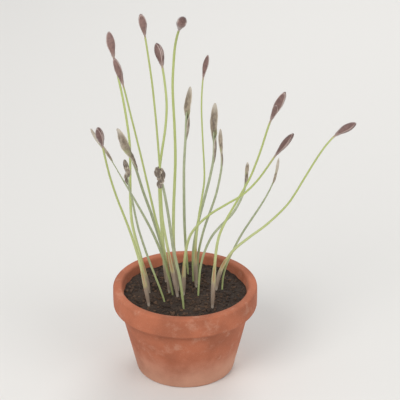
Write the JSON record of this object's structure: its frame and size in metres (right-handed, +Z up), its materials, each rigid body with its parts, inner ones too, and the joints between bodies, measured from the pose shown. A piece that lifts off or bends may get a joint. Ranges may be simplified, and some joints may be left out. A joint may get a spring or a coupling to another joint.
{
  "type": "potted cotton grass",
  "caption": "Clump of cotton grass in early bud, with slender curved culms, closed papery spikelets and older withered heads, standing in the soil of a plain clay pot.",
  "frame": {"origin": "centre of the pot's underside, on the surface that the pot stands on", "axes": "+Z up along the pot's axis, the direction the culms grow; +X to the right and +Y away from the viewer in the pictured view"},
  "size_m": [0.2335, 0.1781, 0.3635],
  "materials": {
    "clay": "unglazed fired clay, matt, with paler salt bloom near the foot",
    "soil": "damp crumbly potting soil, matt",
    "fresh_stem": "smooth living stem, yellow-green, slightly waxy",
    "leaf_sheath": "thin leaf sheath, tan above and mauve-brown below, fine lines along it",
    "papery_scales": "overlapping papery scales, mauve-brown with paler thin margins",
    "faded_stem": "ageing stem, grey-green, finely lined along its length",
    "withered_bract": "dry papery bract, brownish cream with darker mottling, matt"
  },
  "bodies": {
    "root": {"pot": "clay", "soil": "soil", "fresh_culm_01": "fresh_stem", "fresh_culm_02": "fresh_stem", "fresh_culm_03": "fresh_stem", "fresh_culm_04": "fresh_stem", "fresh_culm_05": "fresh_stem", "fresh_culm_06": "fresh_stem", "fresh_culm_07": "fresh_stem", "fresh_culm_08": "fresh_stem", "fresh_culm_09": "fresh_stem", "fresh_culm_10": "fresh_stem", "sheath_01": "leaf_sheath", "sheath_02": "leaf_sheath", "sheath_03": "leaf_sheath", "sheath_04": "leaf_sheath", "sheath_05": "leaf_sheath", "sheath_06": "leaf_sheath", "sheath_07": "leaf_sheath", "sheath_08": "leaf_sheath", "sheath_09": "leaf_sheath", "sheath_10": "leaf_sheath", "spikelet_01": "papery_scales", "spikelet_02": "papery_scales", "spikelet_03": "papery_scales", "spikelet_04": "papery_scales", "spikelet_05": "papery_scales", "spikelet_06": "papery_scales", "spikelet_07": "papery_scales", "spikelet_08": "papery_scales", "spikelet_09": "papery_scales", "spikelet_10": "papery_scales", "faded_culm_01": "faded_stem", "faded_culm_02": "faded_stem", "faded_culm_03": "faded_stem", "faded_culm_04": "faded_stem", "faded_culm_05": "faded_stem", "faded_culm_06": "faded_stem", "faded_culm_07": "faded_stem", "faded_culm_08": "faded_stem", "faded_culm_09": "faded_stem", "withered_head_01": "withered_bract", "withered_head_02": "withered_bract", "withered_head_03": "withered_bract", "withered_head_04": "withered_bract", "withered_head_05": "withered_bract", "withered_head_06": "withered_bract", "withered_head_07": "withered_bract", "withered_head_08": "withered_bract", "withered_head_09": "withered_bract"}
  },
  "joints": []
}
